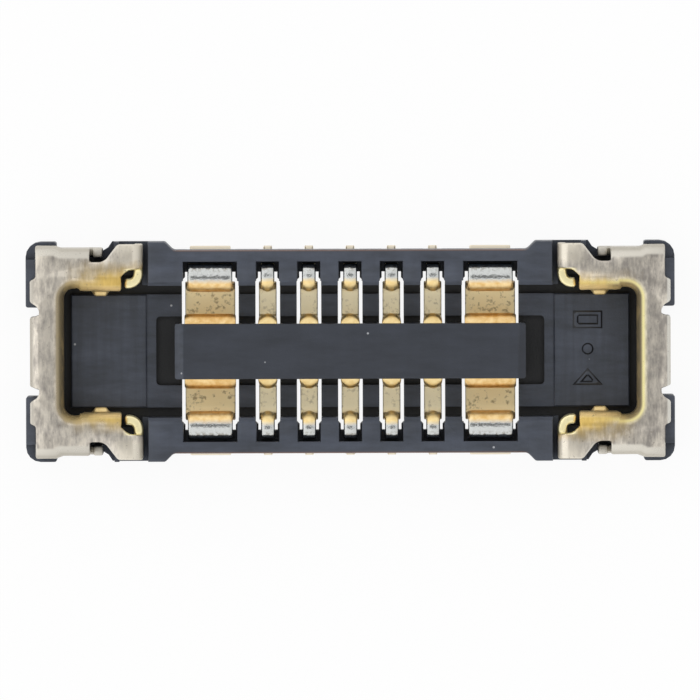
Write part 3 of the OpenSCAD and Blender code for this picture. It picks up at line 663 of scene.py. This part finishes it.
def form_fitting():
    """The right-hand fitting, its half at +Y, then mirrored across."""
    # The outline, from the middle of the inner edge round the cavity's corner, along the arm and back outside
    turn = [math.radians(a) for a in range(0, 91, 10)]
    outline = [(2.468, 0.0)] + [(2.338 + 0.13 * math.cos(a), 0.45 + 0.13 * math.sin(a)) for a in turn] + [
        (2.288, 0.58), (2.27, lip_y), (1.942, lip_y), (1.942, 0.636), (1.924, 0.656), (1.899, 0.677), (1.874, 0.692),
        (guide_x, 0.702), (guide_x, 0.914), (1.97, 0.914), (2.087, 0.762), (toe_x, 0.762), (toe_x, foot_y),
        (2.46, foot_y), (2.505, 0.864), (2.668, 0.864), (2.668, 0.631), (2.714, 0.608), (2.714, 0.423), (2.658, 0.39),
        (2.636, 0.35), (2.636, 0.318), (end_x, 0.295), (end_x, 0.0)]
    piece = draw("end_fitting", [(x, y, sheet_mid) for x, y in outline])
    round_points([(1.97, 0.914, 0.02), (2.087, 0.762, 0.045), (2.668, 0.631, 0.015), (2.714, 0.608, 0.015),
                  (2.714, 0.423, 0.015), (2.658, 0.39, 0.012), (2.636, 0.35, 0.012)])
    near = lambda a, b: abs(a - b) < 1e-4
    side_lip = lambda x, y: near(y, lip_y) and 1.93 < x < 2.271
    end_lip = lambda x, y: 2.287 < x < 2.469 and y < 0.581
    inner = lambda x, y: 1.93 < x < 2.469 and y < 0.581
    end_foot = lambda x, y: near(x, end_x)
    side_foot = lambda x, y: near(y, foot_y) and x > 2.2
    side_fold = lambda x, y: 0.839 < y < 0.865 and x > 2.2
    guide = lambda x, y: near(x, guide_x)
    # All borders are first pulled as far as their bends need, then each lip and foot on to its own length
    room = fold + 0.03
    for border in (inner, end_foot, side_fold, guide):
        if not pick("EDGE", lambda x, y, z: z > sheet_mid - 1e-4 and border(x, y)):
            raise ValueError("no edge to fold")
        pull(z=-room)
    low = sheet_mid - room
    for border, depths in ((side_lip, (0.27,)), (end_lip, (0.17,)), (end_foot, (low,)),
                           (side_foot, (0.03, 0.32, 0.12)), (guide, (0.25,))):
        pick("EDGE", lambda x, y, z: near(z, low) and border(x, y))
        for depth in depths:
            pull(z=-depth)
    # The toe stands up beside the foot, joined to it near the board
    pick("EDGE", lambda x, y, z: near(x, toe_x) and near(y, foot_y) and z < 0.121)
    pull(x=-0.025)
    pull(x=-0.084)
    pick("EDGE", lambda x, y, z: x < 2.183 and near(y, foot_y) and near(z, 0.12))
    pull(z=0.3)
    pick("EDGE", lambda x, y, z: near(x, 2.46) and near(y, foot_y) and z < 0.441)
    pull(x=0.022)
    # Every fold is bent round the same radius, but for the tighter one over the end foot
    pick("EDGE", lambda x, y, z: z > sheet_mid - 1e-4 and any(t(x, y) for t in (inner, side_fold, guide)))
    bpy.ops.mesh.bevel(offset=fold, segments=6, affect="EDGES")
    pick("EDGE", lambda x, y, z: z > sheet_mid - 1e-4 and end_foot(x, y))
    bpy.ops.mesh.bevel(offset=0.04, segments=6, affect="EDGES")
    # The guide runs on past the arm and curls inwards, in line with the side lip
    pick("EDGE", lambda x, y, z: near(x, guide_x) and near(y, 0.702) and z < 0.501)
    pull(y=-0.04)
    bpy.ops.mesh.spin(steps=12, angle=math.radians(-90), center=(1.881, 0.662, 0), axis=(0, 0, 1))
    pull(x=0.03)
    # The side lip is divided finely where the locking bump comes
    pick("FACE", lambda x, y, z: side_lip(x, y) and z < 0.471)
    bpy.ops.mesh.inset(thickness=0.02)
    pick("FACE", lambda x, y, z: near(y, lip_y) and z < 0.452 and 1.955 < x < 2.26)
    bpy.ops.mesh.subdivide(number_cuts=39)
    # The side lip's fold is drawn out towards the cavity, as a lead-in for the plug
    pick("VERT", lambda x, y, z: 1.92 < x < 2.275 and 0.565 < y < 0.629)
    bpy.ops.transform.resize(value=(1, 1.25, 1), center_override=(0, 0.63, 0))
    leave()
    across = piece.modifiers.new("other side", "MIRROR")
    across.use_axis = (False, True, False)
    across.merge_threshold = 1e-4
    bpy.ops.object.modifier_apply(modifier=across.name)
    bpy.ops.object.mode_set(mode="EDIT")
    bpy.ops.mesh.select_all(action="SELECT")
    bpy.ops.mesh.remove_doubles(threshold=1e-5)
    # The curl's edges are rounded more than the others, and nothing stands above the plate's top
    curl = lambda x, y, z: x < 1.925 and 0.5 < abs(y) < 0.705 and z > 0.49
    finish_sheet(piece, sheet_t, 0.016, curl)
    roll_edges(0.021, 3, curl, True)
    top = sheet_mid + sheet_t / 2
    pick("VERT", lambda x, y, z: z > top)
    bpy.ops.transform.resize(value=(1, 1, 0), center_override=(0, 0, top))
    # The bump stands out of the lip's inner face, with a smaller dimple behind it from the punch
    bump_x, bump_z = 2.1165, 0.36
    for row in (1, -1):
        for face, wide, tall, reach, ease in ((0.515, 0.04, 0.014, 0.044, 0.046), (0.595, 0.04, 0.012, 0.024, 0.024)):
            pick("VERT", lambda x, y, z: (abs(y * row - face) < 0.003 and abs(x - bump_x) < wide
                                          and abs(z - bump_z) < tall))
            bpy.ops.transform.translate(
                value=(0, -row * reach, 0), use_proportional_edit=True, use_proportional_connected=True,
                proportional_edit_falloff="SMOOTH", proportional_size=ease)
    leave()
    return piece


def fitting_material():
    """Bronze sheet, rolled and bright nickel plated, with a flash of gold over the arms and the lips that the plug
    rubs: silvery and blotched on the flat, with fine streaks across the part, less blotched round each fold, with
    painted highlights on the folds and the curl, painted shade in the end fold, and the right one painted darker as
    less lit."""
    made, tree, shader, place = new_material("nickel with a gold flash on rolled bronze sheet")
    parts = add(tree, "SeparateXYZ", place).outputs
    along = add(tree, "Math", parts["X"], operation="ABSOLUTE")
    beside = add(tree, "Math", parts["Y"], operation="ABSOLUTE")
    # Rolling streaks, and blotches where the plating is thin
    rolled = add(tree, "Mapping", place, Scale=(1, 0.2, 0.2)).outputs[0]
    streaks = add(tree, "TexNoise", rolled, Scale=every(0.022), Detail=4, Roughness=0.6).outputs["Fac"]
    blots = add(tree, "Mapping", place, Scale=(1, 0.55, 1)).outputs[0]
    cloud = add(tree, "TexNoise", blots, Scale=every(0.1), Detail=4, Roughness=0.62).outputs["Fac"]
    mixed = add(tree, "Math", streaks, 0.5, cloud, operation="MULTIPLY_ADD")
    # Painted light: the right fitting's nickel is coloured darker than the left one's, since more light comes from the
    # left
    left_light_shift = add(tree, "MapRange", parts["X"], -0.001, 0.001, 0.025, -0.045)
    mixed = add(tree, "Math", mixed, left_light_shift, operation="ADD")
    nickel = add(tree, "ValToRGB", mixed, stops=((0.58, "A09A93"), (0.9, "E2DACC")))
    # Along the outer sides, where the sheet is bent, an even colour with fewer blotches, made lighter as a painted fold
    # highlight
    outer_fold_sheen = add(tree, "MapRange", parts["Z"], 0.0005998, 0.000597)
    outer = add(tree, "MapRange", beside, 0.00077, 0.00079)
    outer_fold_sheen = add(tree, "Math", outer_fold_sheen, outer, operation="MULTIPLY")
    nickel_and_fold_light = add(tree, "MixRGB", outer_fold_sheen, nickel, "D0CBC0")
    # The small outer tabs are coloured as lit folds, a painted highlight that is lighter on the right than on the left
    on_right = add(tree, "MapRange", parts["X"], -0.001, 0.001)
    tab = add(tree, "MapRange", along, 0.00268, 0.00269)
    tab_highlight = add(tree, "MixRGB", on_right, "C4BEB3", "DAD7CE")
    nickel_and_fold_light = add(tree, "MixRGB", tab, nickel_and_fold_light, tab_highlight)
    # Painted light and shade over the inner fold at the end: pale yellow on the right, darker tan on the left, darker
    # still where it runs steep
    inner_end_fold = add(tree, "MapRange", parts["Z"], 0.0005998, 0.00059)
    at_end = add(tree, "MapRange", along, 0.00256, 0.00254)
    off_side = add(tree, "MapRange", beside, 0.0007, 0.00066)
    inner_end_fold = add(tree, "Math", inner_end_fold, at_end, operation="MULTIPLY")
    inner_end_fold = add(tree, "Math", inner_end_fold, off_side, operation="MULTIPLY")
    fold_light_and_shade = add(tree, "MixRGB", on_right, "A3967C", "D8CE96")
    steep = add(tree, "MapRange", parts["Z"], 0.000588, 0.000576)
    fold_light_and_shade = add(tree, "MixRGB", steep, fold_light_and_shade, "857A62")
    nickel_and_fold_light = add(tree, "MixRGB", inner_end_fold, nickel_and_fold_light, fold_light_and_shade)
    # The arms' ends are rubbed clean
    arm = add(tree, "MapRange", along, 0.00204, 0.0019, 0, 0.7)
    arm_end = add(tree, "MapRange", beside, 0.00071, 0.00078)
    arm = add(tree, "Math", arm, arm_end, operation="MULTIPLY")
    nickel_and_fold_light = add(tree, "MixRGB", arm, nickel_and_fold_light, "E6DECD")
    # Gold towards the guides and the lips
    drift = add(tree, "Math", cloud, 3e-4, along, operation="MULTIPLY_ADD")
    near_arm = add(tree, "MapRange", drift, 0.0026, 0.0022)
    inner = add(tree, "Math", cloud, 1.2e-4, beside, operation="MULTIPLY_ADD")
    # Two of the four corners took less gold than the others
    corner = add(tree, "Math", parts["X"], parts["Y"], operation="MULTIPLY")
    less = add(tree, "MapRange", corner, -1e-6, 1e-6, 0, 8e-5)
    inner = add(tree, "Math", inner, less, operation="ADD")
    near_lip = add(tree, "MapRange", inner, 0.00084, 0.00068)
    flash = add(tree, "Math", near_arm, near_lip, operation="MULTIPLY")
    gold = add(tree, "MixRGB", streaks, "B8974C", "E9CB7E")
    gilt = add(tree, "MixRGB", flash, nickel_and_fold_light, gold)
    # A painted highlight: the gold is coloured pale where the lip runs steep, as a bright band down the fold
    fold_highlight = add(tree, "MapRange", parts["Z"], 0.000585, 0.00056)
    fold_highlight = add(tree, "Math", fold_highlight, flash, operation="MULTIPLY")
    gilt = add(tree, "MixRGB", fold_highlight, gilt, "FFE6AC")
    # A painted highlight: the guide's curl is coloured paler, as its rounded top catches the light
    curl = add(tree, "MapRange", along, 0.00193, 0.00188)
    turned = add(tree, "MapRange", beside, 0.00071, 0.0007)
    curl = add(tree, "Math", curl, turned, operation="MULTIPLY")
    gilt = add(tree, "MixRGB", curl, gilt, "FFF4C4")
    # Pits that show the bronze
    pits = add(tree, "TexNoise", place, Scale=every(0.028), Detail=2).outputs["Fac"]
    pitted = add(tree, "MapRange", pits, 0.68, 0.76, 0, 0.5)
    final = add(tree, "MixRGB", pitted, gilt, "7C7268")
    tree.links.new(final.outputs[0], shader.inputs["Base Color"])
    # The folds are glossier than the flats, since the tool has pressed them smooth
    rough = add(tree, "MapRange", cloud, 0.3, 0.7, 0.76, 0.66)
    bend = add(tree, "MapRange", parts["Z"], 0.0006, 0.0005)
    bend = add(tree, "ValToRGB", bend, stops=((0, 0.8), (0.03, 1), (0.2, 1), (0.36, 0.1), (0.8, 0.1), (1, 0.6)))
    glossed = add(tree, "Math", bend, -0.42, rough, operation="MULTIPLY_ADD")
    tree.links.new(glossed.outputs[0], shader.inputs["Roughness"])
    bump = add(tree, "Bump", Height=streaks, Strength=0.5, Distance=2e-6)
    tree.links.new(bump.outputs[0], shader.inputs["Normal"])
    shader.inputs["Metallic"].default_value = 1.0
    return made


fitting_model = form_fitting()
fitting_model.data.materials.append(fitting_material())
for side, name in ((1, "right"), (-1, "left")):
    fitting = another(fitting_model)
    fitting.name = "folded_fitting_" + name
    fitting.scale = (side, 1, 1)
    apply_place()
    bpy.ops.object.mode_set(mode="EDIT")
    outwards()
    leave()
    settle(fitting)
    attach(fitting, "root")
    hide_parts("end_fitting_" + name)
bpy.data.objects.remove(fitting_model)


# Stage
# A pale floor, white to the camera but for the soft shadow of the part, under a soft ring of light whose middle is
# dark: that is the lens of the inspection microscope, which every face that looks straight up mirrors.
bpy.ops.mesh.primitive_plane_add(size=1.2, location=(0, 0, -2e-6))
floor = bpy.context.object
floor.name = "stage_floor"
floor_white, tree, shader, _ = new_material("white studio floor, evenly lit")
tree.nodes.remove(shader)
paths = add(tree, "LightPath").outputs
seen = add(tree, "Math", paths["Is Camera Ray"], paths["Is Glossy Ray"], operation="ADD")
seen = add(tree, "Math", seen, paths["Is Transmission Ray"], operation="ADD", use_clamp=True)
share = add(tree, "Math", seen, 0.92, operation="MULTIPLY")
lit = add(tree, "BsdfDiffuse", Color=colour("F4F4F4"))
glow = add(tree, "Emission", Color=(1, 1, 1, 1), Strength=1.0)
mixed = add(tree, "MixShader", share, lit, glow)
tree.links.new(mixed.outputs[0], tree.nodes["Material Output"].inputs[0])
floor.data.materials.append(floor_white)

# The front of the lens, behind the camera, and its darker opening
for name, radius, height, level in (("rim", 0.068, 0.19, 0.75), ("opening", 0.04, 0.186, 0.2)):
    bpy.ops.object.select_all(action="DESELECT")
    bpy.ops.mesh.primitive_circle_add(vertices=96, radius=radius, fill_type="NGON", location=(0, 0.008, height))
    glass, tree, shader, _ = new_material("lens " + name)
    tree.nodes.remove(shader)
    dim = add(tree, "Emission", Color=(1, 1, 1, 1), Strength=level)
    tree.links.new(dim.outputs[0], tree.nodes["Material Output"].inputs[0])
    lens_front = bpy.context.object
    lens_front.name = "stage_lens_" + name
    lens_front.data.materials.append(glass)

sky = bpy.data.worlds.new("soft white surround")
sky.use_nodes = True
bpy.context.scene.world = sky
tree = sky.node_tree
compass = add(tree, "SeparateXYZ", add(tree, "TexCoord").outputs["Generated"]).outputs
upward = add(tree, "ValToRGB", compass["Z"], stops=((0, 1.0), (1, 1.1)))
tree.links.new(upward.outputs[0], tree.nodes["Background"].inputs["Color"])
# A little more of the light comes from the left
from_left = add(tree, "MapRange", compass["X"], -1, 1, 1.25, 0.75)
tree.links.new(from_left.outputs[0], tree.nodes["Background"].inputs["Strength"])


# Camera
# It looks straight down through a long lens, tipped a little towards the far side, as under a microscope.
lens = bpy.data.cameras.new("inspection camera")
lens.lens = 1000
lens.sensor_width = 36
lens.clip_start = 0.001
lens.clip_end = 1.0
camera = bpy.data.objects.new("inspection camera", lens)
bpy.context.collection.objects.link(camera)
# The photograph shows 118 pixels to the millimetre, in a frame 700 pixels wide
view_width = 0.001 * 700 / 118.0
tilt, reach = math.radians(1.3), view_width / lens.sensor_width * lens.lens
camera.location = (0.85e-5, 1.1e-5 + reach * math.sin(tilt), 0.0005 + reach * math.cos(tilt))
camera.rotation_euler = (-tilt, 0, math.radians(-0.17))
bpy.context.scene.camera = camera
bpy.context.scene.view_settings.view_transform = "Standard"
